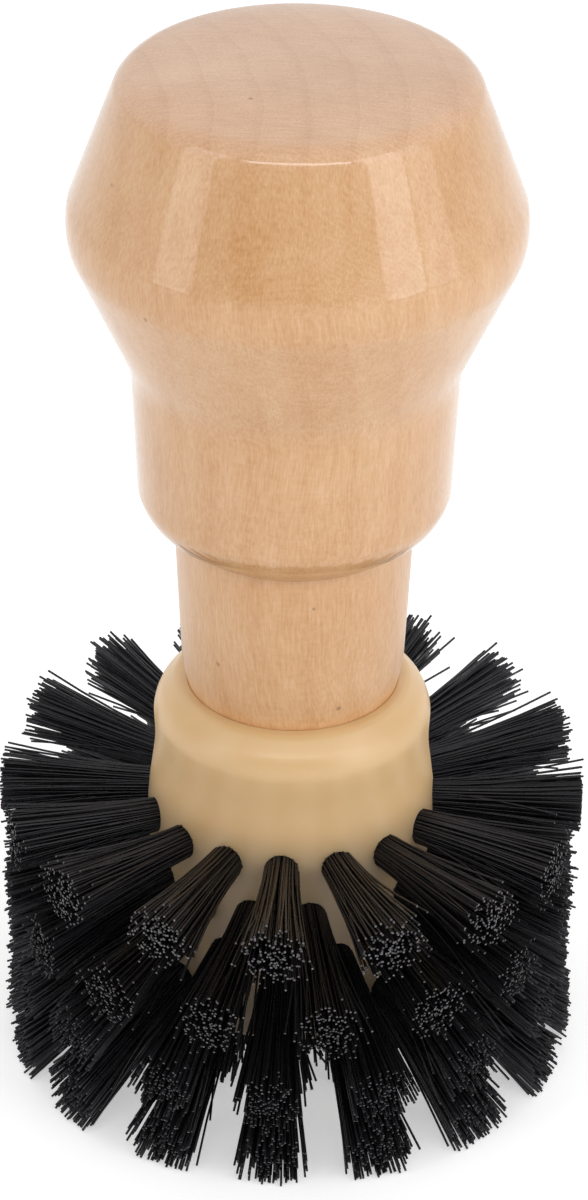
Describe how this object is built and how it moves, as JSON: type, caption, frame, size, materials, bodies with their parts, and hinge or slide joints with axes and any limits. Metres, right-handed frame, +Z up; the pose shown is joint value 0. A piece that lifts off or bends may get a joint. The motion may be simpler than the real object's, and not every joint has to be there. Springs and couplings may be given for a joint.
{
  "type": "coffee machine cleaning brush",
  "caption": "Round brush for cleaning coffee machines: turned wooden knob handle, moulded hub and rings of splayed black bristle tufts.",
  "frame": {"origin": "middle of the floor under the brush, which stands on its bristles", "axes": "+Z up along the handle; -Y to the front, where one tuft of the top row points"},
  "size_m": [0.058, 0.058, 0.1053],
  "materials": {
    "varnished_wood": "pale turned wood under gloss varnish",
    "cream_plastic": "satin moulded plastic",
    "black_nylon": "satin filament",
    "zinc_plated_steel": "plated"
  },
  "bodies": {
    "root": {"handle": "varnished_wood", "handle_stud": "zinc_plated_steel", "hub": "cream_plastic", "bristle_row_1": "black_nylon", "bristle_row_2": "black_nylon", "bristle_row_3": "black_nylon", "bristle_row_4": "black_nylon", "bristle_end": "black_nylon"}
  },
  "joints": []
}
